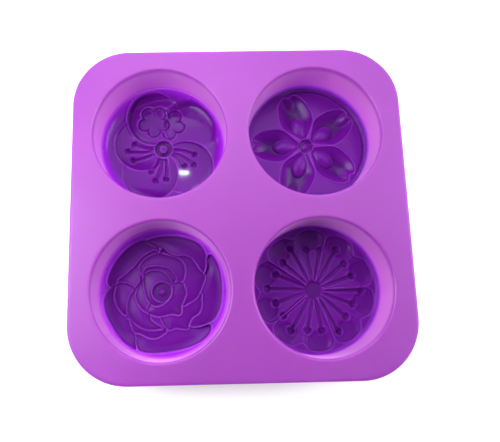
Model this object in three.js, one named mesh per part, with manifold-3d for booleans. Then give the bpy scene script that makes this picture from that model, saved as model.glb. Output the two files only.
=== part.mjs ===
// A one-piece silicone soap mould: a thin rounded-square deck with four round cups hanging
// beneath it, and a different flower sunk into the floor of every cup.
// Millimetres, +Z up, +Y towards the back pair of cups. The cup undersides rest on z = 0.

import * as THREE from 'three';
import { mergeVertices } from 'three/addons/utils/BufferGeometryUtils.js';
import Module from 'manifold-3d';

const wasm = await Module();
wasm.setup();

// Overall sizes.
const DECK_SIDE = 167;
const DECK_CORNER_RADIUS = 28.7;
const DECK_THICKNESS = 2.5;
const DECK_EDGE_ROUND = 1.1;
const TOTAL_HEIGHT = 32.5;
const CUP_PITCH = 78.7;

// Cup sizes: the mouth is 68 mm across its rounded lip and the wall leans in slightly.
const THROAT_RADIUS = 33.6;
const LIP_ROUND = 0.8;
const WALL_TOP_OUTER_RADIUS = 36.2;
const WALL_FOOT_INNER_RADIUS = 33.2;
const WALL_FOOT_OUTER_RADIUS = 35.4;
const FLOOR_BOTTOM_ROUND = 3;

// Heights above the cup undersides.
const DECK_UNDERSIDE = TOTAL_HEIGHT - DECK_THICKNESS;
const FLOOR_TOP = 6.5;
const DEEPEST_RELIEF = TOTAL_HEIGHT - 30;

// How finely round shapes are faceted.
const ROUND_SEGMENTS = 48;
const PETAL_SEGMENTS = 32;
const HEART_SEGMENTS = 20;
const BEAD_SEGMENTS = 10;
const CORNER_SEGMENTS = 10;
const FILLET_SEGMENTS = 2;
const CUT_CLEARANCE = 1;

const SILICONE_COLOUR = 0xb45ad2;
const PETAL_COUNT = 5;
const PETAL_STEP = 360 / PETAL_COUNT;

const CUP_CENTRES = {
  plum: [-CUP_PITCH / 2, CUP_PITCH / 2],
  cherry: [CUP_PITCH / 2, CUP_PITCH / 2],
  rose: [-CUP_PITCH / 2, -CUP_PITCH / 2],
  sakura: [CUP_PITCH / 2, -CUP_PITCH / 2],
};

// ---------------------------------------------------------------- geometry helpers

const radians = (degrees) => (degrees * Math.PI) / 180;

const polar = (radius, degrees) =>
  new THREE.Vector2(radius * Math.cos(radians(degrees)), radius * Math.sin(radians(degrees)));

// Points of a quarter circle about (cx, cy), from one angle to the other.
function arcPoints(cx, cy, radius, fromDegrees, toDegrees) {
  const points = [];
  for (let i = 0; i <= FILLET_SEGMENTS; i += 1) {
    const angle = fromDegrees + ((toDegrees - fromDegrees) * i) / FILLET_SEGMENTS;
    points.push(polar(radius, angle).add(new THREE.Vector2(cx, cy)));
  }
  return points;
}

// A turned shape about +Z; each profile point is (radius, height).
function turned(profile) {
  return new THREE.LatheGeometry(profile, ROUND_SEGMENTS).rotateX(Math.PI / 2);
}

function toSolid(geometry) {
  const bare = geometry.clone();
  bare.deleteAttribute('normal');
  bare.deleteAttribute('uv');
  const welded = mergeVertices(bare, 1e-4);
  const index = welded.index.array;
  const triangles = [];
  for (let i = 0; i < index.length; i += 3) {
    const [a, b, c] = [index[i], index[i + 1], index[i + 2]];
    if (a !== b && b !== c && c !== a) triangles.push(a, b, c);
  }
  return new wasm.Manifold(new wasm.Mesh({
    numProp: 3,
    vertProperties: new Float32Array(welded.attributes.position.array),
    triVerts: new Uint32Array(triangles),
  }));
}

function toGeometry(solid) {
  const mesh = solid.getMesh();
  const geometry = new THREE.BufferGeometry();
  geometry.setAttribute('position', new THREE.BufferAttribute(mesh.vertProperties, 3));
  geometry.setIndex(new THREE.BufferAttribute(mesh.triVerts, 1));
  geometry.computeVertexNormals();
  return geometry;
}

// A tool that sinks an outline from above the floor down to the given height.
function sunkTo(height, shape) {
  const geometry = new THREE.ExtrudeGeometry(shape, {
    depth: FLOOR_TOP + CUT_CLEARANCE - height,
    bevelEnabled: false,
  });
  return toSolid(geometry.translate(0, 0, height));
}

function discPoints(centre, radius, segments) {
  return Array.from({ length: segments }, (_, i) => polar(radius, (360 * i) / segments).add(centre));
}

const discShape = (centre, radius, segments) =>
  new THREE.Shape(discPoints(centre, radius, segments));

// The outline turned about the cup's centre line.
function rotatedShape(points, degrees) {
  const origin = new THREE.Vector2();
  return new THREE.Shape(points.map((p) => p.clone().rotateAround(origin, radians(degrees))));
}

// A smooth closed outline through hand-placed points, grown or shrunk about its middle.
function closedCurve(points, samples, scale = 1) {
  const knots = points.map(([x, y]) => new THREE.Vector3(x * scale, y * scale, 0));
  const curve = new THREE.CatmullRomCurve3(knots, true, 'centripetal');
  return curve.getPoints(samples).slice(0, samples).map((p) => new THREE.Vector2(p.x, p.y));
}

// A groove of even width along a bent line, ending in a round bead.
function stamenShapes(start, bend, tip, halfWidth, tipRadius, steps) {
  const line = new THREE.QuadraticBezierCurve(start, bend, tip);
  const left = [];
  const right = [];
  for (let i = 0; i <= steps; i += 1) {
    const point = line.getPoint(i / steps);
    const along = line.getTangent(i / steps);
    const across = new THREE.Vector2(-along.y, along.x).multiplyScalar(halfWidth);
    left.push(point.clone().add(across));
    right.unshift(point.clone().sub(across));
  }
  return [
    new THREE.Shape([...right.reverse(), ...left.reverse()]),
    discShape(tip, tipRadius, BEAD_SEGMENTS),
  ];
}

// ---------------------------------------------------------------- deck and cup walls

// The flat flange that joins the cups, with a rounded outer edge and four rounded mouths.
function deck() {
  const half = DECK_SIDE / 2;
  const middle = half - DECK_CORNER_RADIUS;
  const outline = new THREE.Shape();
  outline.moveTo(half, -middle);
  outline.absarc(middle, middle, DECK_CORNER_RADIUS, 0, Math.PI / 2);
  outline.absarc(-middle, middle, DECK_CORNER_RADIUS, Math.PI / 2, Math.PI);
  outline.absarc(-middle, -middle, DECK_CORNER_RADIUS, Math.PI, 1.5 * Math.PI);
  outline.absarc(middle, -middle, DECK_CORNER_RADIUS, 1.5 * Math.PI, 2 * Math.PI);
  const plate = new THREE.ExtrudeGeometry(outline, {
    depth: DECK_THICKNESS - 2 * DECK_EDGE_ROUND,
    bevelThickness: DECK_EDGE_ROUND,
    bevelSize: DECK_EDGE_ROUND,
    bevelOffset: -DECK_EDGE_ROUND,
    bevelSegments: FILLET_SEGMENTS,
    curveSegments: CORNER_SEGMENTS,
  });
  plate.translate(0, 0, DECK_UNDERSIDE + DECK_EDGE_ROUND);

  const lip = arcPoints(THROAT_RADIUS + LIP_ROUND, TOTAL_HEIGHT - LIP_ROUND, LIP_ROUND, 180, 90);
  const mouthProfile = [
    new THREE.Vector2(0, DECK_UNDERSIDE - CUT_CLEARANCE),
    new THREE.Vector2(THROAT_RADIUS, DECK_UNDERSIDE - CUT_CLEARANCE),
    ...lip,
    new THREE.Vector2(THROAT_RADIUS + LIP_ROUND, TOTAL_HEIGHT + CUT_CLEARANCE),
    new THREE.Vector2(0, TOTAL_HEIGHT + CUT_CLEARANCE),
  ];
  let solid = toSolid(plate);
  for (const [x, y] of Object.values(CUP_CENTRES)) {
    solid = solid.subtract(toSolid(turned(mouthProfile).translate(x, y, 0)));
  }
  return toGeometry(solid);
}

// The slightly tapered side wall of one cup, from its floor up to the deck underside.
function cupWall() {
  const profile = [
    new THREE.Vector2(WALL_FOOT_INNER_RADIUS, FLOOR_TOP),
    new THREE.Vector2(WALL_FOOT_OUTER_RADIUS, FLOOR_TOP),
    new THREE.Vector2(WALL_TOP_OUTER_RADIUS, DECK_UNDERSIDE),
    new THREE.Vector2(THROAT_RADIUS, DECK_UNDERSIDE),
    new THREE.Vector2(WALL_FOOT_INNER_RADIUS, FLOOR_TOP),
  ];
  return turned(profile);
}

// The plain floor disc of a cup, rounded where it turns up into the wall.
function floorBlank() {
  const corner = arcPoints(
    WALL_FOOT_OUTER_RADIUS - FLOOR_BOTTOM_ROUND, FLOOR_BOTTOM_ROUND, FLOOR_BOTTOM_ROUND, -90, 0,
  );
  const profile = [
    new THREE.Vector2(0, 0),
    ...corner,
    new THREE.Vector2(WALL_FOOT_OUTER_RADIUS, FLOOR_TOP),
    new THREE.Vector2(0, FLOOR_TOP),
  ];
  return toSolid(turned(profile));
}

function carved(cutters) {
  return toGeometry(cutters.reduce((solid, cutter) => solid.subtract(cutter), floorBlank()));
}

// ---------------------------------------------------------------- flower reliefs

// Five round petals laid like a pinwheel, sinking deeper one by one from the rear right
// petal round to the rear petal.
function plumFloor() {
  const petalRadius = 13.5;
  const petalReach = 15.5;
  const firstPetalAngle = 36;
  const firstPetalHeight = 5;
  const sinkPerPetal = 0.3;
  const cutters = [];
  for (let i = 0; i < PETAL_COUNT; i += 1) {
    const centre = polar(petalReach, firstPetalAngle - PETAL_STEP * i);
    const petal = discShape(centre, petalRadius, PETAL_SEGMENTS);
    cutters.push(sunkTo(firstPetalHeight - sinkPerPetal * i, petal));
  }
  cutters.push(...plumBlossomPair(3.2), ...plumStamens(3));
  cutters.push(sunkTo(DEEPEST_RELIEF, discShape(new THREE.Vector2(), 4.9, HEART_SEGMENTS)));
  return carved(cutters);
}

// Two small overlapping five-lobed blossoms on the rear petal.
function plumBlossomPair(height) {
  const lobeReach = 4.8;
  const lobeRadius = 3.6;
  const cutters = [];
  for (const middle of [new THREE.Vector2(-5, 15), new THREE.Vector2(5, 13.5)]) {
    for (let i = 0; i < PETAL_COUNT; i += 1) {
      const lobe = polar(lobeReach, -90 + PETAL_STEP * i).add(middle);
      cutters.push(sunkTo(height, discShape(lobe, lobeRadius, BEAD_SEGMENTS)));
    }
  }
  return cutters;
}

// Three sprays of three bent stamens.
function plumStamens(height) {
  const sprays = [180, 262, 333];
  const spread = [-20, 0, 20];
  const cutters = [];
  for (const spray of sprays) {
    for (const offset of spread) {
      const reach = offset === 0 ? 18.8 : 16.6;
      const angle = spray + offset;
      const shapes = stamenShapes(
        polar(4, angle), polar(11, angle + 14), polar(reach, angle), 0.6, 1.6, 4,
      );
      shapes.forEach((shape) => cutters.push(sunkTo(height, shape)));
    }
  }
  return cutters;
}

// Five long notched petals with a raised oval bud lying in the root of each.
function cherryFloor() {
  const half = [[3.4, 1], [8, 5], [12.4, 8.2], [17, 9], [24, 7.8], [28.5, 5], [30, 2.4]];
  const mirrored = half.map(([x, y]) => [x, -y]).reverse();
  const petal = [...half, [28.2, 0], ...mirrored].map(([x, y]) => new THREE.Vector2(x, y));
  const bud = discPoints(new THREE.Vector2(), 1, HEART_SEGMENTS)
    .map((p) => new THREE.Vector2(10.8 + 6.8 * p.x, 4.3 * p.y));
  const cutters = [];
  for (let i = 0; i < PETAL_COUNT; i += 1) {
    const turn = 35 + PETAL_STEP * i;
    const valley = rotatedShape(petal, turn);
    valley.holes.push(rotatedShape(bud, turn));
    cutters.push(sunkTo(3.4, valley), sunkTo(4.6, rotatedShape(bud, turn)));
  }
  cutters.push(sunkTo(DEEPEST_RELIEF, discShape(new THREE.Vector2(), 3.7, HEART_SEGMENTS)));
  return carved(cutters);
}

// A rose seen from above: four uneven rings of petals stepping down to a round heart,
// with a thin crest left standing between one ring and the next.
function roseFloor() {
  const rings = [
    [[-24, 5], [-31, -3], [-27, -15], [-20, -25.5], [-8, -30], [5, -30], [19, -25.5], [24.5, -17],
      [29.5, -8], [30, 8], [26, 19], [20, 24.5], [8, 29], [-8, 28.5], [-21, 19]],
    [[-23.5, 5.5], [-25.8, -1], [-24, -7], [-19, -12], [-15.5, -20], [-6, -23.4], [2, -19],
      [12, -19], [13.4, -15.5], [19.5, -8], [18.7, -0.5], [21.5, 7.5], [14.5, 18], [6, 19.3],
      [-5, 22], [-14, 16]],
    [[-12, 9.5], [-15.8, 1], [-13, -6.5], [-8, -11], [0, -12.2], [9, -10.8], [11.6, -0.5],
      [9.6, 6], [11, 11], [6, 16.5], [-4, 18]],
    [[5.8, 6], [3, 12.3], [-4, 13.9], [-10, 10], [-10, 1], [-7, -6.5], [0, -9], [7, -6], [8, 1]],
  ];
  const levels = [5.2, 4.6, 3.9, 3.3];
  const crest = 0.6;
  const heart = new THREE.Vector2(-1, 0.4);
  const cutters = [];
  rings.forEach((ring, i) => {
    const inner = rings[i + 1]
      ? closedCurve(rings[i + 1], 40, 1.03)
      : discPoints(heart, 6, HEART_SEGMENTS);
    const hollow = new THREE.Shape(closedCurve(ring, 40, 0.985));
    const crested = sunkTo(levels[i], hollow).subtract(sunkTo(levels[i], new THREE.Shape(inner)));
    cutters.push(sunkTo(levels[i] + crest, hollow), crested);
  });
  cutters.push(sunkTo(DEEPEST_RELIEF, discShape(heart, 5.2, HEART_SEGMENTS)));
  return carved(cutters);
}

// Five broad notched petals under a wheel of eighteen straight stamens, every third one longer.
function sakuraFloor() {
  const half = [[5.4, 3.5], [22.4, 15.6], [26.5, 14.6], [29.6, 9.5], [30.4, 4.5]];
  const mirrored = half.map(([x, y]) => [x, -y]).reverse();
  const petal = [...half, [28, 0], ...mirrored].map(([x, y]) => new THREE.Vector2(x, y));
  const stamenCount = 18;
  const cutters = [];
  for (let i = 0; i < PETAL_COUNT; i += 1) {
    cutters.push(sunkTo(4.7, rotatedShape(petal, 38 + PETAL_STEP * i)));
  }
  for (let i = 0; i < stamenCount; i += 1) {
    const angle = -2 + (360 * i) / stamenCount;
    const reach = i % 3 === 0 ? 24.8 : 21.4;
    const shapes = stamenShapes(
      polar(4, angle), polar(reach / 2, angle), polar(reach, angle), 0.75, 1.9, 1,
    );
    shapes.forEach((shape) => cutters.push(sunkTo(3.4, shape)));
  }
  cutters.push(sunkTo(DEEPEST_RELIEF, discShape(new THREE.Vector2(), 4.9, HEART_SEGMENTS)));
  return carved(cutters);
}

// ---------------------------------------------------------------- assembly

function named(name, geometry, roughness) {
  const material = new THREE.MeshStandardMaterial({
    color: SILICONE_COLOUR,
    roughness,
    metalness: 0,
  });
  const mesh = new THREE.Mesh(geometry, material);
  mesh.name = name;
  return mesh;
}

const FLOORS = {
  plum: plumFloor,
  cherry: cherryFloor,
  rose: roseFloor,
  sakura: sakuraFloor,
};

const mould = new THREE.Group();
mould.name = 'silicone_soap_mould';
mould.add(named('deck', deck(), 0.45));
for (const [flower, [x, y]] of Object.entries(CUP_CENTRES)) {
  mould.add(named(`cup_wall_${flower}`, cupWall().translate(x, y, 0), 0.3));
  mould.add(named(`cup_floor_${flower}`, FLOORS[flower]().translate(x, y, 0), 0.25));
}

export default mould;
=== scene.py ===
"""Purple silicone soap mould with four flower-floored cups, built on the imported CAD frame.

Lengths in the shape code are millimetres; finished meshes are scaled to metres.
"""

import math
from collections import namedtuple

import bmesh
import bpy
import numpy as np
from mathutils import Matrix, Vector


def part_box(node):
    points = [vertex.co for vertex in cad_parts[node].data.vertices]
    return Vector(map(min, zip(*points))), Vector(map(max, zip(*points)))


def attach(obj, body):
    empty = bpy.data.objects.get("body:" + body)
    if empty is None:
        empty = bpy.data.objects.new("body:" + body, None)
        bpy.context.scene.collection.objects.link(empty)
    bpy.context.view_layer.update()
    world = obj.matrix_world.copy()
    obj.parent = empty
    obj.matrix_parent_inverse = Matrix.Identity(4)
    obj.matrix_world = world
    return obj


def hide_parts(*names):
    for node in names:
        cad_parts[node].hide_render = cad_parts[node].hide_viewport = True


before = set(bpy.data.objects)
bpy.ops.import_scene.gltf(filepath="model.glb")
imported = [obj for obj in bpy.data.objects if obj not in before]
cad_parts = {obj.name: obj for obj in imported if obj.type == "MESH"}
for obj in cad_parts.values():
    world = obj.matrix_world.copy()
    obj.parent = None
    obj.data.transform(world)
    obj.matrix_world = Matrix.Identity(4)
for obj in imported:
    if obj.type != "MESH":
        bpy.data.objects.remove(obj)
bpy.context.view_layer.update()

MM = 0.001

# ---------------------------------------------------------------- sizes taken from the frame

FLOWERS = ("plum", "cherry", "rose", "sakura")


def box_mm(node):
    """Lowest and highest corner of a CAD node in millimetres."""
    low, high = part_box(node)
    return np.array(low) / MM, np.array(high) / MM


deck_low, deck_high = box_mm("deck")
wall_low, wall_high = box_mm("cup_wall_cherry")
floor_low, floor_high = box_mm("cup_floor_cherry")

DECK_HALF = deck_high[0]
DECK_TOP = deck_high[2]
DECK_UNDER = deck_low[2]
CUP_REACH = (wall_low[0] + wall_high[0]) / 2
WALL_OUTER_TOP = (wall_high[0] - wall_low[0]) / 2
WALL_OUTER_FOOT = (floor_high[0] - floor_low[0]) / 2
FLOOR_LEVEL = floor_high[2]

# Sizes that the CAD boxes do not give. THROAT and FOOT are a cup's inner radii under its lip and
# at its floor; WELL_LEVEL is the height of the hidden recess that each floor piece stands in.
DECK_CORNER = 28.7
DECK_EDGE = 1.2
THROAT = 33.6
FOOT = 33.2
LIP = 1.3
UNDER_FILLET = 1.6
FOOT_ROUND = 3.0
WELL_LEVEL = 1.2

# ---------------------------------------------------------------- mesh helpers


def add_object(name, points, faces, smooth_angle=50):
    """A smooth-shaded mesh object from points in millimetres."""
    mesh = bpy.data.meshes.new(name)
    mesh.from_pydata((np.asarray(points) * MM).tolist(), [], faces)
    mesh.validate()
    mesh.update()
    piece = bpy.data.objects.new(name, mesh)
    bpy.context.scene.collection.objects.link(piece)
    mesh.shade_smooth()
    mesh.set_sharp_from_angle(angle=math.radians(smooth_angle))
    return piece


def smoothstep(low, high, value):
    """0 at low, 1 at high and an easy curve between; low may be the larger one."""
    t = np.clip((value - low) / (high - low), 0, 1)
    return t * t * (3 - 2 * t)


# ---------------------------------------------------------------- deck and cup walls

# How many points each stretch of a quarter of the deck has.
CENTRE_LINE_POINTS = 40
STRAIGHT_POINTS = 28
CORNER_POINTS = 24


def quarter_outline():
    """Points and outward directions round the rear right quarter of the deck.

    The first and last stretches lie on the deck's centre lines and have no outward direction.
    """
    edge = DECK_HALF - DECK_EDGE
    middle = DECK_HALF - DECK_CORNER
    radius = DECK_CORNER - DECK_EDGE
    points, outward = [], []

    def stretch(start, end, count, direction):
        for t in np.arange(count) / count:
            points.append((start[0] + (end[0] - start[0]) * t, start[1] + (end[1] - start[1]) * t))
            outward.append(direction)

    stretch((0, 0), (edge, 0), CENTRE_LINE_POINTS, (0, 0))
    stretch((edge, 0), (edge, middle), STRAIGHT_POINTS, (1, 0))
    for t in np.arange(CORNER_POINTS) / CORNER_POINTS:
        angle = t * math.pi / 2
        direction = (math.cos(angle), math.sin(angle))
        points.append((middle + radius * direction[0], middle + radius * direction[1]))
        outward.append(direction)
    stretch((middle, edge), (0, edge), STRAIGHT_POINTS, (0, 1))
    end_of_edge = len(outward)
    stretch((0, edge), (0, 0), CENTRE_LINE_POINTS, (0, 0))
    outward[end_of_edge] = (0, 1)
    return np.array(points, float), np.array(outward, float)


def quarter_rings():
    """Rings of points for one quarter: from the hidden well out over the deck and back under."""
    outline, outward = quarter_outline()
    centre = np.array([CUP_REACH, CUP_REACH])
    spokes = outline - centre
    spokes = spokes / np.linalg.norm(spokes, axis=1)[:, None]

    def ring(radius, height, share=0):
        """A circle round the cup, drawn out by share, 0 to 1, towards the deck's outline."""
        line = (centre + spokes * radius) * (1 - share) + outline * share
        return np.column_stack([line, np.full(len(line), height)])

    upper = [ring(radius, WELL_LEVEL) for radius in (8, 20, 30, FOOT)]
    for t in np.linspace(0.1, 1, 18):
        height = WELL_LEVEL + (DECK_TOP - LIP - WELL_LEVEL) * t
        upper.append(ring(FOOT + (THROAT - FOOT) * t, height))
    for angle in np.radians(np.linspace(15, 90, 6)):
        radius = THROAT + LIP * (1 - math.cos(angle))
        upper.append(ring(radius, DECK_TOP - LIP * (1 - math.sin(angle))))
    for share in np.linspace(0, 1, 13)[1:]:
        upper.append(ring(THROAT + LIP, DECK_TOP, share))

    edge = []
    for angle in np.radians(np.linspace(0, 180, 9))[1:-1]:
        height = (DECK_TOP + DECK_UNDER) / 2 + (DECK_TOP - DECK_UNDER) / 2 * math.cos(angle)
        line = outline + outward * DECK_EDGE * math.sin(angle)
        edge.append(np.column_stack([line, np.full(len(line), height)]))

    lower = []
    for share in np.linspace(1, 0, 10):
        lower.append(ring(WALL_OUTER_TOP + UNDER_FILLET, DECK_UNDER, share))
    for angle in np.radians(np.linspace(20, 90, 5)):
        radius = WALL_OUTER_TOP + UNDER_FILLET * (1 - math.sin(angle))
        lower.append(ring(radius, DECK_UNDER - UNDER_FILLET * (1 - math.cos(angle))))
    for t in np.linspace(0, 1, 12)[1:]:
        radius = WALL_OUTER_TOP + (WALL_OUTER_FOOT - WALL_OUTER_TOP) * t
        height = DECK_UNDER - UNDER_FILLET + (FOOT_ROUND - DECK_UNDER + UNDER_FILLET) * t
        lower.append(ring(radius, height))
    for angle in np.radians(np.linspace(12, 90, 7)):
        radius = WALL_OUTER_FOOT - FOOT_ROUND * (1 - math.cos(angle))
        lower.append(ring(radius, FOOT_ROUND * (1 - math.sin(angle))))
    lower += [ring(radius, 0) for radius in (22, 10)]
    return upper, edge, lower, np.any(outward != 0, axis=1)


def quarter_faces(upper_count, edge_count, lower_count, is_edge):
    """Faces of one quarter: strips from ring to ring and a fan at the middle of each end."""
    ring_count = upper_count + edge_count + lower_count
    columns = len(is_edge)
    edge_columns = np.flatnonzero(is_edge)[:-1].tolist()
    faces = []
    for ring in range(ring_count - 1):
        round_the_edge = upper_count - 1 <= ring < upper_count + edge_count
        near, far = ring * columns, (ring + 1) * columns
        for i in edge_columns if round_the_edge else range(columns):
            j = (i + 1) % columns
            faces.append((near + i, far + i, far + j, near + j))
    last = (ring_count - 1) * columns
    well_middle = ring_count * columns
    foot_middle = well_middle + 1
    for i in range(columns):
        j = (i + 1) % columns
        faces.append((well_middle, i, j))
        faces.append((foot_middle, last + j, last + i))
    return faces


def deck_and_walls():
    """One closed skin: deck, lips, cup walls and undersides, with a round well for each floor."""
    upper, edge, lower, is_edge = quarter_rings()
    well_middle = [CUP_REACH, CUP_REACH, WELL_LEVEL]
    foot_middle = [CUP_REACH, CUP_REACH, 0]
    quarter_points = np.vstack([*upper, *edge, *lower, well_middle, foot_middle])
    quarter = quarter_faces(len(upper), len(edge), len(lower), is_edge)
    points, faces = [], []
    for side_x, side_y in ((1, 1), (-1, 1), (-1, -1), (1, -1)):
        start = len(points)
        points.extend(quarter_points * (side_x, side_y, 1))
        direction = side_x * side_y
        faces.extend([tuple(start + i for i in face)[::direction] for face in quarter])
    piece = add_object("deck_and_cup_walls", points, faces)
    weld(piece)
    return piece


def weld(piece):
    """Joins the quarters along the deck's centre lines."""
    mesh = bmesh.new()
    mesh.from_mesh(piece.data)
    bmesh.ops.remove_doubles(mesh, verts=mesh.verts, dist=0.01 * MM)
    bmesh.ops.recalc_face_normals(mesh, faces=mesh.faces)
    mesh.to_mesh(piece.data)
    mesh.free()


def mark_inner_walls(piece):
    """Gives the faces inside the cups, up to the lip, the second material."""
    centres = np.zeros(len(piece.data.polygons) * 3)
    piece.data.polygons.foreach_get("center", centres)
    x, y, z = centres.reshape(-1, 3).T / MM
    from_cup = np.hypot(abs(x) - CUP_REACH, abs(y) - CUP_REACH)
    inner = (from_cup < THROAT + LIP) & (z > FOOT_ROUND)
    piece.data.polygons.foreach_set("material_index", inner.astype(int))


# ---------------------------------------------------------------- relief helpers

DISC_RINGS = 130


def disc_grid(radius):
    """Centre-out triangle grid of a disc: x, y and the faces. Ring k has 6k points."""
    x, y, faces = [0.0], [0.0], []
    for k in range(1, DISC_RINGS + 1):
        angles = np.arange(6 * k) * math.tau / (6 * k)
        x.extend(radius * k / DISC_RINGS * np.cos(angles))
        y.extend(radius * k / DISC_RINGS * np.sin(angles))
        outer, inner = 1 + 3 * k * (k - 1), 1 + 3 * (k - 1) * (k - 2)
        for sector in range(6):
            for j in range(k):
                a = outer + sector * k + j
                b = outer + (sector * k + j + 1) % (6 * k)
                c = inner + (sector * (k - 1) + j) % (6 * (k - 1)) if k > 1 else 0
                faces.append((a, b, c))
                if j < k - 1:
                    d = inner + (sector * (k - 1) + j + 1) % (6 * (k - 1))
                    faces.append((c, b, d))
    return np.array(x), np.array(y), faces


def closed_curve(knots, per_span=8):
    """A smooth closed line through the knots (Catmull-Rom)."""
    knots = np.array(knots, float)
    before, after = np.roll(knots, 1, 0), np.roll(knots, -1, 0)
    beyond = np.roll(knots, -2, 0)
    line = []
    for t in np.arange(per_span) / per_span:
        line.append(0.5 * (2 * knots + (after - before) * t
                           + (2 * before - 5 * knots + 4 * after - beyond) * t ** 2
                           + (3 * knots - before - 3 * after + beyond) * t ** 3))
    return np.stack(line, 1).reshape(-1, 2)


def inside_distance(x, y, line):
    """Distance to a closed line, positive inside it."""
    nearest = np.full(x.shape, np.inf)
    inside = np.zeros(x.shape, bool)
    for (ax, ay), (bx, by) in zip(line, np.roll(line, -1, 0)):
        dx, dy = bx - ax, by - ay
        share = np.clip(((x - ax) * dx + (y - ay) * dy) / (dx * dx + dy * dy + 1e-12), 0, 1)
        nearest = np.minimum(nearest, np.hypot(x - ax - share * dx, y - ay - share * dy))
        crosses = (ay > y) != (by > y)
        with np.errstate(divide="ignore", invalid="ignore"):
            inside ^= crosses & (x < ax + (y - ay) * dx / dy)
    return np.where(inside, nearest, -nearest)


def line_distance(x, y, line):
    """Distance to an open line."""
    nearest = np.full(x.shape, np.inf)
    for (ax, ay), (bx, by) in zip(line[:-1], line[1:]):
        dx, dy = bx - ax, by - ay
        share = np.clip(((x - ax) * dx + (y - ay) * dy) / (dx * dx + dy * dy), 0, 1)
        nearest = np.minimum(nearest, np.hypot(x - ax - share * dx, y - ay - share * dy))
    return nearest


def polar(radius, degrees):
    """The point at a radius and an angle."""
    return radius * math.cos(math.radians(degrees)), radius * math.sin(math.radians(degrees))


def turned_frame(x, y, degrees):
    """Coordinates along and across a direction."""
    c, s = math.cos(math.radians(degrees)), math.sin(math.radians(degrees))
    return x * c + y * s, y * c - x * s


def groove(gap, half_width, depth):
    """Depth of a round-bottomed groove whose middle is gap away."""
    return depth * smoothstep(half_width * 1.25, half_width * 0.35, gap)


def bump(gap, size, half_width):
    """A soft rounded step of a given size, whose middle is gap away."""
    return size * np.exp(-(gap / half_width) ** 2)


def blended(first, second, share):
    """Goes from the first value to the second as share goes from 0 to 1."""
    return first * (1 - share) + second * share


def with_heart(depth, r, rim, foot, sink, knob=0, knob_foot=1, knob_top=0):
    """Sinks a round pit at a flower's middle, with a low knob standing in it.

    rim and foot are the radii of the pit's wall, knob_foot and knob_top those of the knob's.
    """
    pit = sink - knob * smoothstep(knob_foot, knob_top, r)
    return blended(depth, pit, smoothstep(rim, foot, r))


# ---------------------------------------------------------------- the four reliefs
# Each gives depths below FLOOR_LEVEL at points measured from its cup's middle.

PETALS = 5
PETAL_STEP = 360 / PETALS

STAMEN_HALF_WIDTH = 1.1
STAMEN_DEPTH = 1.1
BEAD_DEPTH = 1.7


def stamen(x, y, start, bend, tip, bead):
    """Depth of a thin curved groove that ends in a round bead of the given radius."""
    t = np.linspace(0, 1, 9)[:, None]
    start, bend, tip = np.array(start), np.array(bend), np.array(tip)
    line = (1 - t) ** 2 * start + 2 * t * (1 - t) * bend + t ** 2 * tip
    thread = groove(line_distance(x, y, line), STAMEN_HALF_WIDTH, STAMEN_DEPTH)
    return np.maximum(thread, groove(np.hypot(x - tip[0], y - tip[1]), bead, BEAD_DEPTH))


def notched_petal(half, notch):
    """The outline of a petal that points along +x, from one side of it and its notch."""
    mirrored = [(u, -v) for u, v in reversed(half)]
    return closed_curve([*half, (notch, 0), *mirrored])


# The middle of each round plum petal and how softly its edge falls away; the rear one is first.
PLUM_PETALS = (
    ((-5, 17), 0.35),
    ((-11.6, 2.5), 0.35),
    ((-7, -14.4), 0.35),
    ((12.4, -10.8), 0.35),
    ((14.2, 11.6), 2.0),
)
PLUM_PETAL_RADIUS = 14.7
PLUM_PETAL_DEPTH = 1.9
PLUM_FOLD_DEPTH = 2.1
PLUM_TILT = 1.1 / PLUM_PETAL_RADIUS

# Where the stamens of each plum spray end.
PLUM_SPRAYS = (
    ((-16.1, 2.8), (-19.6, -1.1), (-16.8, -6.2)),
    ((-6.8, -13.1), (-4.4, -18), (1.3, -17.1)),
    ((11.3, -9.7), (16.5, -9.3), (17, -3.4)),
)


def plum_petal(x, y, middle):
    """Distance inside a round petal, and distance across the line from the heart to its middle."""
    inside = PLUM_PETAL_RADIUS - np.hypot(x - middle[0], y - middle[1])
    _, across = turned_frame(x, y, math.degrees(math.atan2(middle[1], middle[0])))
    return inside, across


def plum_petals(x, y):
    """Tilted round petals laid like a pinwheel, each over the one before."""
    depth = np.zeros(x.shape)
    for k in (1, 0, 4, 3, 2, 1):
        middle, softness = PLUM_PETALS[k]
        inside, across = plum_petal(x, y, middle)
        weight = smoothstep(-softness, softness, inside)
        depth = blended(depth, PLUM_PETAL_DEPTH + PLUM_TILT * across, weight)
    # One side of the rear petal comes back on top, with a rolled edge.
    middle, softness = PLUM_PETALS[0]
    inside, across = plum_petal(x, y, middle)
    weight = smoothstep(-softness, softness, inside) * smoothstep(-6.5, -1.5, across)
    depth = blended(depth, PLUM_FOLD_DEPTH + PLUM_TILT * across, weight)
    rolled = smoothstep(0, 6, across)
    return depth + rolled * (bump(inside - 0.9, 0.6, 0.7) - bump(inside + 0.5, 0.5, 0.5))


def small_blossom(x, y, centre):
    """Distance inside a small five-lobed blossom."""
    lobes = [5.0 - np.hypot(x - centre[0], y - centre[1])]
    for i in range(PETALS):
        step = polar(5.4, -90 + PETAL_STEP * i)
        lobes.append(3.9 - np.hypot(x - centre[0] - step[0], y - centre[1] - step[1]))
    return np.max(lobes, axis=0)


def plum_blossom_pair(x, y):
    """Two small blossoms sunk in the rear petal, the front one partly over the back one."""
    front = small_blossom(x, y, (-5.3, 16))
    back = small_blossom(x, y, (3.3, 14.5))
    uncovered = smoothstep(0.3, -0.6, front)
    depth = np.zeros(x.shape)
    for edge, seen, sink in ((back, uncovered, 0.5), (front, 1, 0.8)):
        depth += seen * (sink * smoothstep(-0.25, 0.35, edge) + bump(edge - 0.45, 0.55, 0.45))
    return depth


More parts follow.
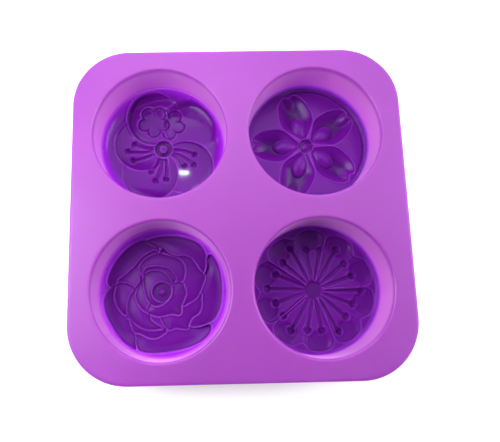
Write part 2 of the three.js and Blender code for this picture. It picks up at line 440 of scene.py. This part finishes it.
def plum_stamens(x, y):
    """Three sprays of three bent stamens, clear of the heart."""
    depth = np.zeros(x.shape)
    for spray in PLUM_SPRAYS:
        for tip in spray:
            angle = math.degrees(math.atan2(tip[1], tip[0]))
            bend = polar(0.6 * math.hypot(*tip), angle + 11)
            depth += stamen(x, y, polar(4, angle), bend, tip, 1.8)
    return depth * smoothstep(4, 7, np.hypot(x, y))


def plum_relief(x, y):
    """A pinwheel of five round petals, stamens in three sprays, and two small blossoms."""
    depth = plum_petals(x, y) + plum_blossom_pair(x, y) + plum_stamens(x, y)
    return with_heart(depth, np.hypot(x, y), rim=5.2, foot=4.0, sink=4.4,
                      knob=1.6, knob_foot=3.0, knob_top=1.7)


CHERRY_PETAL = ((3.4, 0.9), (8, 5), (12.4, 8.4), (17, 9.2), (24, 7.9), (28.3, 5.4), (29.8, 2.6))
CHERRY_NOTCH = 28.4
CHERRY_HALF_WIDTH = 9.2
CHERRY_TURN = 35


def cherry_bud(u, v):
    """Where a petal's egg-shaped bud lies, and the depth of its surface."""
    half_width = 4.6 * (0.62 + 0.38 * smoothstep(3, 12, u))
    q = ((u - 10.8) / 7.3) ** 2 + (v / half_width) ** 2
    return q < 1, 4.3 - 3.3 * np.sqrt(np.clip(1 - q, 0, 1))


def cherry_relief(x, y):
    """Five long notched petal hollows with a raised bud in the root of each."""
    outline = notched_petal(CHERRY_PETAL, CHERRY_NOTCH)
    depth = np.zeros(x.shape)
    for k in range(PETALS):
        u, v = turned_frame(x, y, CHERRY_TURN + PETAL_STEP * k)
        edge = inside_distance(u, v, outline)
        bowl = 1 - (1 - np.clip(edge / CHERRY_HALF_WIDTH, 0, 1)) ** 2
        hollow = smoothstep(-0.3, 0.3, edge) * (0.7 + 3.6 * bowl)
        on_bud, bud = cherry_bud(u, v)
        hollow = np.where(on_bud, np.minimum(hollow, bud), hollow)
        depth = np.maximum(depth, hollow) - bump(edge + 0.2, 0.25, 0.4)
    # A groove runs along the wall at the back right of the cup.
    r = np.hypot(x, y)
    moat_side = smoothstep(3.3, 19.8, x * 0.8 + y * 0.6)
    depth += moat_side * bump(r - 31.6, 1.1, 0.8)
    return with_heart(depth, r, rim=4.4, foot=3.2, sink=3.0, knob=0.9, knob_foot=2.6, knob_top=0.6)


# How deep each rose petal lies and the points that its outline runs through, outermost first.
ROSE_PETALS = (
    (0.8, ((-29, 4), (-27, 14), (-20, 23), (-12, 27.6), (-6, 27), (-2, 22), (-6, 10), (-18, 2))),
    (0.9, ((-9, 27.5), (-4, 24.2), (0, 22), (8, 12), (19, 8), (22.8, 15), (22.3, 20), (19, 25),
           (13, 28), (6, 29.5), (-2, 29.5))),
    (0.8, ((21.5, 10), (23, 18.5), (26, 19), (28.8, 14), (30.3, 6), (30.3, -2), (28.8, -9.5),
           (24, -15.8), (13, -17.8), (8, -8), (12, 4))),
    (0.9, ((12, -17), (18, -17.9), (23.6, -16.6), (24.2, -20), (21, -24.2), (14, -27.6), (5, -29.8),
           (-5, -30.6), (-12, -29.5), (-14.8, -25), (-15.5, -19), (0, -10))),
    (0.9, ((-24, 5), (-28.5, 2.4), (-31, -3), (-30, -10), (-26.5, -17), (-22, -23.5), (-17, -28.6),
           (-14, -28), (-15.4, -20), (-14, -8), (-16, 2))),
    (1.3, ((-24.2, 5.6), (-20, 10), (-15, 14.8), (-12, 18.4), (-8, 21.2), (-4, 22.2), (2, 16),
           (-2, 4), (-14, -2))),
    (1.3, ((-19.5, -11.5), (-22.5, -9.5), (-24.8, -6), (-25.9, -1.5), (-25.2, 3), (-24, 5.6),
           (-17, 4), (-10, -4), (-13, -11))),
    (1.3, ((1.6, -19), (-0.6, -21.5), (-4, -23.3), (-8, -23), (-12, -20.9), (-15.5, -20),
           (-16.6, -17.5), (-17.8, -13.6), (-19.5, -11.5), (-12, -4), (0, -8))),
    (1.3, ((18.8, -0.8), (19.7, -4), (19.6, -8), (18, -11.2), (15, -13.2), (13.2, -16), (12.4, -18.8),
           (10, -19), (6, -18.5), (1.8, -19), (-2, -10), (8, -2))),
    (1.3, ((-1, 23.2), (3, 20.8), (7, 19.2), (11, 19.4), (14.5, 18), (17, 14.8), (18.9, 11.6),
           (21, 9.6), (21.8, 7), (20.5, 3.4), (18.6, -1), (16, -4), (13, -5.6), (9.2, -6.7), (2, 2),
           (-4, 14))),
    (1.6, ((-12, 9.4), (-13, 6), (-16, 1.6), (-18.5, -2.5), (-19.3, -7), (-18.6, -11.5), (-14, -16.5),
           (-8, -19), (-1, -18.4), (-4.5, -16), (-7, -12.8), (-6, -4), (-6, 6))),
    (1.7, ((9.2, 5.3), (10.9, 8), (11.4, 11.5), (10.6, 14.8), (8, 17.6), (3, 19.4), (-3, 20.8),
           (-9, 18.4), (-13, 13), (-8, 5), (0, 0))),
    (1.9, ((-14.7, 0.4), (-14.4, -3.5), (-12.5, -7.2), (-8.7, -10), (-3, -8), (-5, 4), (-11, 7.5))),
    (1.9, ((9.3, 5.2), (11, 2.4), (11.8, -0.5), (10.8, -3.5), (9.3, -7), (9, -10.7), (7.4, -11.8),
           (4, -11.2), (0, -12), (-4, -12.3), (-9, -9.6), (-6, -3), (2, 4))),
    (2.1, ((6, 5.6), (5.1, 9.8), (2.5, 12.6), (-1.5, 13.8), (-6, 14), (-10.4, 12), (-10, 4), (-2, 0))),
    (2.3, ((-11, 8.3), (-9.6, 10.3), (-6, 11.8), (-1, 11), (3, 7), (4, 2), (2, -4), (-4, -7),
           (-8.5, -4), (-10.4, 2))),
)


def rose_relief(x, y):
    """Overlapping petals, each deepest just inside its own thin crest."""
    depth = np.zeros(x.shape)
    for level, knots in ROSE_PETALS:
        edge = inside_distance(x, y, closed_curve(knots, 6))
        petal = level + 1.3 * np.exp(-np.maximum(edge, 0) / 3.2)
        depth = blended(depth - bump(edge + 0.3, 0.5, 0.4), petal, smoothstep(-0.1, 0.6, edge))
    r = np.hypot(x + 1.2, y - 0.5)
    depth -= bump(r - 5.5, 0.7, 0.5)
    return with_heart(depth, r, rim=5.2, foot=4.6, sink=3.9, knob=0.9, knob_foot=2.6, knob_top=0.6)


SAKURA_PETAL = ((4.6, 2.6), (12, 8.2), (22, 15.4), (26.8, 15), (30, 10.4), (30.6, 4.8))
SAKURA_NOTCH = 28
SAKURA_TURN = 38
SAKURA_STAMENS = 18
SAKURA_LONG_STAMEN = 24.8
SAKURA_SHORT_STAMEN = 21.4


def sakura_petals(x, y):
    """Five broad notched petals with two rounded lobes and a fine rib down the middle."""
    outline = notched_petal(SAKURA_PETAL, SAKURA_NOTCH)
    depth = np.zeros(x.shape)
    for k in range(PETALS):
        u, v = turned_frame(x, y, SAKURA_TURN + PETAL_STEP * k)
        edge = inside_distance(u, v, outline)
        lobe = smoothstep(6.5, 4.5, np.hypot(u - 25.6, abs(v) - 8.6))
        hollow = smoothstep(-0.35, 0.35, edge) * (1.6 + 0.5 * smoothstep(0, 5, edge) + 0.7 * lobe)
        rib = bump(v, 0.25, 0.5) * smoothstep(8, 12, u)
        depth = np.maximum(depth, hollow - rib)
    return depth


def sakura_relief(x, y):
    """Broad petals under a wheel of straight stamens, every third one longer."""
    cuts = np.zeros(x.shape)
    lips = np.zeros(x.shape)
    for i in range(SAKURA_STAMENS):
        angle = -2 + 360 / SAKURA_STAMENS * i
        reach = SAKURA_LONG_STAMEN if i % 3 == 0 else SAKURA_SHORT_STAMEN
        tip = polar(reach, angle)
        cut = stamen(x, y, polar(3, angle), polar(reach / 2, angle), tip, 2.0)
        from_tip = np.hypot(x - tip[0], y - tip[1])
        lips = np.maximum(lips, bump(from_tip - 2.6, 0.25, 0.4))
        cuts = np.maximum(cuts, cut - bump(from_tip, 0.3, 0.7))
    depth = sakura_petals(x, y) + cuts - lips * (cuts < 0.1)
    return with_heart(depth, np.hypot(x, y), rim=5.4, foot=3.8, sink=3.6)


# ---------------------------------------------------------------- cup floors

# relief gives the flower, cove is the width of the curve up into the wall, and outline is how
# strongly the crests are painted lighter, a painted highlight.
Floor = namedtuple("Floor", "relief cove roughness outline")
FLOORS = {
    "plum": Floor(plum_relief, cove=6.0, roughness=0.06, outline=0.18),
    "cherry": Floor(cherry_relief, cove=0.5, roughness=0.24, outline=0.14),
    "rose": Floor(rose_relief, cove=7.0, roughness=0.38, outline=0.20),
    "sakura": Floor(sakura_relief, cove=2.0, roughness=0.38, outline=0.12),
}

# The cove stops just short of upright, where it would meet the wall edge on.
WALL_ANGLE_SHARE = 0.94

# A flower fades out over this stretch next to the wall.
RELIEF_FADES = (FOOT - 2.0, FOOT - 0.4)

# Standing out, or lying back, by this much counts as a full crest or crease, where the mask for
# the painted highlight or the painted shade reaches one.
FULL_CREST = 0.3
FULL_CREASE = 0.4


def standing_out(height, faces, rounds=5):
    """How far each point stands above its surroundings."""
    edges = np.array(faces)[:, [0, 1, 1, 2, 2, 0]].reshape(-1, 2)
    number = np.bincount(edges.ravel(), minlength=len(height))
    around = height
    for _ in range(rounds):
        total = np.bincount(edges[:, 0], around[edges[:, 1]], len(height))
        total += np.bincount(edges[:, 1], around[edges[:, 0]], len(height))
        around = total / number
    return height - around


def store(piece, name, values):
    """Keeps one number per point for the material to read."""
    padded = np.zeros(len(piece.data.vertices))
    padded[:len(values)] = values
    piece.data.attributes.new(name, "FLOAT", "POINT").data.foreach_set("value", padded)


def cup_floor(flower, grid):
    """The relief floor of one cup, curving up into the wall at its rim and closed underneath."""
    x, y, faces = grid
    low, high = box_mm(f"cup_floor_{flower}")
    centre = (low + high) / 2
    relief, cove = FLOORS[flower].relief, FLOORS[flower].cove
    r = np.hypot(x, y)
    rise = WALL_ANGLE_SHARE * np.clip((r - (FOOT - cove)) / cove, 0, 1)
    height = FLOOR_LEVEL + cove * (1 - np.sqrt(1 - rise ** 2))
    fade_start, fade_end = RELIEF_FADES
    height -= relief(x, y) * smoothstep(fade_end, fade_start, r)

    count = len(x)
    rim_count = 6 * DISC_RINGS
    rim = count - rim_count
    top = np.column_stack([x, y, height])
    foot = np.column_stack([x[rim:], y[rim:], np.full(rim_count, WELL_LEVEL)])
    points = np.vstack([top, foot, [0, 0, WELL_LEVEL]])
    closed = list(faces)
    for i in range(rim_count):
        j = (i + 1) % rim_count
        closed.append((rim + i, count + i, count + j, rim + j))
        closed.append((count + rim_count, count + j, count + i))
    points[:, :2] += centre[:2]
    piece = add_object(f"floor_{flower}", points, closed, smooth_angle=180)

    # The crest mask places a painted highlight on the crests and the crease mask painted shade in the
    # creases.
    ridge = standing_out(height, faces)
    store(piece, "crest", np.clip(ridge / FULL_CREST, 0, 1))
    store(piece, "crease", np.clip(-ridge / FULL_CREASE, 0, 1))
    return piece


# ---------------------------------------------------------------- colours

# The inside of a cup is painted from pale violet near the lip to a deep purple in the relief:
# painted light where light passes through the thin upper walls, painted shade where it is lost in the
# floors.
# Crests are painted lighter towards this colour: a painted highlight.
CREST_HIGHLIGHT_COLOUR = (0.50, 0.10, 0.75)
# Creases are painted darker towards this colour, by up to the strength below: painted shade.
CREASE_SHADE_COLOUR = (0.05, 0.001, 0.11)
CREASE_SHADE_STRENGTH = 0.4
SHEEN_COLOUR = (0.85, 0.42, 1.0)
DECK_COLOUR = (0.262, 0.040, 0.335)
DECK_ROUGHNESS = 0.42
WALL_ROUGHNESS = 0.2
LIP_ROUGHNESS = 0.15
# Painted light and shade by height: dark deep in the relief, paler up the cove and the wall.
FLOOR_COLOURS = (
    (FLOOR_LEVEL - 4.2, (0.065, 0.001, 0.14)),
    (FLOOR_LEVEL - 2.2, (0.115, 0.0025, 0.225)),
    (FLOOR_LEVEL, (0.13, 0.004, 0.25)),
    (FLOOR_LEVEL + 0.7, (0.20, 0.006, 0.40)),
    (FLOOR_LEVEL + 2.5, (0.33, 0.02, 0.62)),
    (FLOOR_LEVEL + 4, (0.49, 0.08, 0.67)),
    (FLOOR_LEVEL + 6, (0.60, 0.19, 0.62)),
)
# Over the last few millimetres under the lip the colour darkens towards the deck colour: painted shade
# at the lip's edge.
LIP_LAYERS = (
    (DECK_TOP - 4, (0.60, 0.22, 0.61), WALL_ROUGHNESS),
    (DECK_TOP - 1.8, (0.44, 0.11, 0.50), WALL_ROUGHNESS),
    (DECK_TOP - 1.0, (0.37, 0.075, 0.44), LIP_ROUGHNESS),
    (DECK_TOP - 0.4, DECK_COLOUR, LIP_ROUGHNESS),
    (DECK_TOP - 0.05, DECK_COLOUR, DECK_ROUGHNESS),
)
DECK_LAYERS = (
    (0, DECK_COLOUR, DECK_ROUGHNESS),
    (DECK_TOP, DECK_COLOUR, DECK_ROUGHNESS),
)


def floor_layers(roughness):
    """The floor colours, all with one roughness."""
    return [(level, colour, roughness) for level, colour in FLOOR_COLOURS]


# ---------------------------------------------------------------- material


def height_ramp(tree, place, layers):
    """A colour that changes with height, with the roughness in its alpha.

    layers is a list of (height, colour, roughness), lowest first.
    """
    parts = tree.nodes.new("ShaderNodeSeparateXYZ")
    tree.links.new(place, parts.inputs["Vector"])
    height = tree.nodes.new("ShaderNodeMapRange")
    height.inputs["From Max"].default_value = DECK_TOP * MM
    tree.links.new(parts.outputs["Z"], height.inputs["Value"])
    ramp = tree.nodes.new("ShaderNodeValToRGB")
    tree.links.new(height.outputs["Result"], ramp.inputs["Fac"])
    stops = ramp.color_ramp.elements
    for i, (level, colour, roughness) in enumerate(layers):
        stop = stops[i] if i < 2 else stops.new(level / DECK_TOP)
        stop.position = level / DECK_TOP
        stop.color = (*colour, roughness)
    return ramp


def cloud(tree, place, fineness, detail, spread):
    """A noise round 1, for multiplying, that strays from it by up to spread."""
    noise = tree.nodes.new("ShaderNodeTexNoise")
    noise.inputs["Scale"].default_value = fineness
    noise.inputs["Detail"].default_value = detail
    tree.links.new(place, noise.inputs["Vector"])
    tone = tree.nodes.new("ShaderNodeMapRange")
    tone.inputs["To Min"].default_value = 1 - spread
    tone.inputs["To Max"].default_value = 1 + spread
    tree.links.new(noise.outputs["Fac"], tone.inputs["Value"])
    return tone.outputs["Result"]


def multiply(tree, value, factor, clamp=False):
    """The product of a socket and either another socket or a number."""
    product = tree.nodes.new("ShaderNodeMath")
    product.operation = "MULTIPLY"
    product.use_clamp = clamp
    tree.links.new(value, product.inputs[0])
    if isinstance(factor, bpy.types.NodeSocket):
        tree.links.new(factor, product.inputs[1])
    else:
        product.inputs[1].default_value = factor
    return product.outputs["Value"]


def mottle(tree, colour, tone):
    """A colour made lighter and darker by a tone."""
    mix = tree.nodes.new("ShaderNodeMix")
    mix.data_type = "RGBA"
    mix.blend_type = "MULTIPLY"
    mix.inputs["Factor"].default_value = 1
    tree.links.new(colour, mix.inputs["A"])
    tree.links.new(tone, mix.inputs["B"])
    return mix.outputs["Result"]


# Lays on the painted highlight on crests and the painted shade in creases.
def paint_highlight_and_shade(tree, place, colour, other, mask, strength):
    """Goes unevenly part of the way to another colour where the mesh carries the mask."""
    where = tree.nodes.new("ShaderNodeAttribute")
    where.attribute_name = mask
    share = multiply(tree, where.outputs["Fac"], strength)
    uneven = multiply(tree, share, cloud(tree, place, 110, 2, 1.4), clamp=True)
    mix = tree.nodes.new("ShaderNodeMix")
    mix.data_type = "RGBA"
    mix.inputs["B"].default_value = (*other, 1)
    tree.links.new(uneven, mix.inputs["Factor"])
    tree.links.new(colour, mix.inputs["A"])
    return mix.outputs["Result"]


def silicone(name, layers, scatter, specular, sheen, outline=0):
    """Purple silicone whose colour and roughness change with height.

    scatter is how far light spreads inside it in millimetres, and outline how strongly crests
    are painted lighter, a painted highlight.
    """
    material = bpy.data.materials.new(name)
    material.use_nodes = True
    tree = material.node_tree
    shader = tree.nodes["Principled BSDF"]
    place = tree.nodes.new("ShaderNodeTexCoord").outputs["Object"]

    ramp = height_ramp(tree, place, layers)
    colour = mottle(tree, ramp.outputs["Color"], cloud(tree, place, 22, 3, 0.08))
    colour = paint_highlight_and_shade(tree, place, colour, CREST_HIGHLIGHT_COLOUR, "crest", outline)
    colour = paint_highlight_and_shade(tree, place, colour, CREASE_SHADE_COLOUR, "crease", CREASE_SHADE_STRENGTH)
    tree.links.new(colour, shader.inputs["Base Color"])
    haze = multiply(tree, ramp.outputs["Alpha"], cloud(tree, place, 60, 4, 0.15))
    tree.links.new(haze, shader.inputs["Roughness"])

    shader.inputs["Subsurface Weight"].default_value = 1.0
    shader.inputs["Subsurface Radius"].default_value = (1.0, 0.4, 1.2)
    shader.inputs["Subsurface Scale"].default_value = scatter * MM
    shader.inputs["IOR"].default_value = 1.41
    shader.inputs["Specular IOR Level"].default_value = specular
    shader.inputs["Sheen Weight"].default_value = sheen
    shader.inputs["Sheen Roughness"].default_value = 0.35
    shader.inputs["Sheen Tint"].default_value = (*SHEEN_COLOUR, 1)
    return material


# ---------------------------------------------------------------- stage, light and camera

FLOOR_HALF = 3.0
PAPER_WHITE = 0.92
PAPER_GLOW = 0.4
SKY_STRENGTH = 0.1

# Each lamp's place, width, height and power. None stands in front, so that the back walls of the
# cups fall into shade; window and spark are the two reflections on the plum floor.
LAMPS = {
    "left": ((-0.22, 0.03, 0.27), 0.20, 0.20, 0.60),
    "left_front": ((-0.19, 0.0, 0.27), 0.14, 0.14, 0.55),
    "left_low": ((-0.25, 0.02, 0.12), 0.15, 0.15, 0.12),
    "back": ((-0.05, 0.33, 0.27), 0.28, 0.28, 0.80),
    "right_back": ((0.26, 0.31, 0.27), 0.28, 0.28, 0.30),
    "window": ((0.015, 0.125, 0.27), 0.28, 0.14, 0.32),
    "spark": ((-0.010, 0.131, 0.27), 0.006, 0.004, 0.03),
    "far_right": ((0.65, 0.10, 0.48), 0.45, 0.45, 4.9),
    "high_right": ((0.30, 0.02, 0.50), 0.30, 0.30, 0.4),
}

# The camera's lens and angles, and its place in metres.
LENS = 40.49
LENS_SHIFT = (0.0758, -0.025)
EYE = (-0.01893, -0.05509)
EYE_ABOVE_DECK = 0.27034
EYE_ANGLES = (11.46, -0.84, -1.24)


def studio_floor():
    """White paper that glows a little, so that the mould's shadow stays faint."""
    corners = [(-FLOOR_HALF, -FLOOR_HALF, 0), (FLOOR_HALF, -FLOOR_HALF, 0),
               (FLOOR_HALF, FLOOR_HALF, 0), (-FLOOR_HALF, FLOOR_HALF, 0)]
    mesh = bpy.data.meshes.new("studio_floor")
    mesh.from_pydata(corners, [], [(0, 1, 2, 3)])
    ground = bpy.data.objects.new("studio_floor", mesh)
    bpy.context.scene.collection.objects.link(ground)
    paper = bpy.data.materials.new("studio_paper")
    paper.use_nodes = True
    shader = paper.node_tree.nodes["Principled BSDF"]
    shader.inputs["Base Color"].default_value = (PAPER_WHITE, PAPER_WHITE, PAPER_WHITE, 1)
    shader.inputs["Roughness"].default_value = 0.9
    shader.inputs["Emission Color"].default_value = (1, 1, 1, 1)
    shader.inputs["Emission Strength"].default_value = PAPER_GLOW
    mesh.materials.append(paper)


def sky():
    """A dim white light from all round."""
    world = bpy.data.worlds.new("studio")
    world.use_nodes = True
    background = world.node_tree.nodes["Background"]
    background.inputs["Color"].default_value = (1, 1, 1, 1)
    background.inputs["Strength"].default_value = SKY_STRENGTH
    bpy.context.scene.world = world


def softbox(name, place, width, height, power):
    """A flat lamp pointed at the middle of the mould."""
    light = bpy.data.lights.new(name, "AREA")
    light.shape = "RECTANGLE"
    light.size = width
    light.size_y = height
    light.energy = power
    lamp = bpy.data.objects.new(name, light)
    bpy.context.scene.collection.objects.link(lamp)
    lamp.location = place
    aim = Vector((0, 0, FLOOR_LEVEL * MM)) - lamp.location
    lamp.rotation_euler = aim.to_track_quat("-Z", "Y").to_euler()


def camera():
    """Looks down from a little in front of the mould's middle."""
    data = bpy.data.cameras.new("camera")
    data.sensor_width = 36
    data.lens = LENS
    data.shift_x, data.shift_y = LENS_SHIFT
    data.clip_start = 0.01
    eye = bpy.data.objects.new("camera", data)
    bpy.context.scene.collection.objects.link(eye)
    eye.location = (*EYE, DECK_TOP * MM + EYE_ABOVE_DECK)
    eye.rotation_euler = [math.radians(angle) for angle in EYE_ANGLES]
    bpy.context.scene.camera = eye


# ---------------------------------------------------------------- assembly

# The outside and the deck are one even colour. Only the inside of the cups follows the height
# ramp of painted light and shade, because on the outside it would show as bands.
satin = silicone("silicone_satin", DECK_LAYERS, scatter=5, specular=0.5, sheen=1.0)
inner_layers = [*floor_layers(WALL_ROUGHNESS), *LIP_LAYERS]
inner_wall = silicone("silicone_inner_wall", inner_layers, scatter=5, specular=0.5, sheen=0.6)

skin = deck_and_walls()
skin.data.materials.append(satin)
skin.data.materials.append(inner_wall)
mark_inner_walls(skin)
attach(skin, "root")
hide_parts("deck", *[f"cup_wall_{flower}" for flower in FLOWERS])

grid = disc_grid(FOOT)
for flower in FLOWERS:
    floor = cup_floor(flower, grid)
    finish = silicone(f"silicone_{flower}", floor_layers(FLOORS[flower].roughness),
                      scatter=0.8, specular=0.16, sheen=0.4, outline=FLOORS[flower].outline)
    floor.data.materials.append(finish)
    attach(floor, "root")
    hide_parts(f"cup_floor_{flower}")

studio_floor()
sky()
for name, settings in LAMPS.items():
    softbox(name, *settings)
camera()
bpy.context.scene.view_settings.view_transform = "Standard"
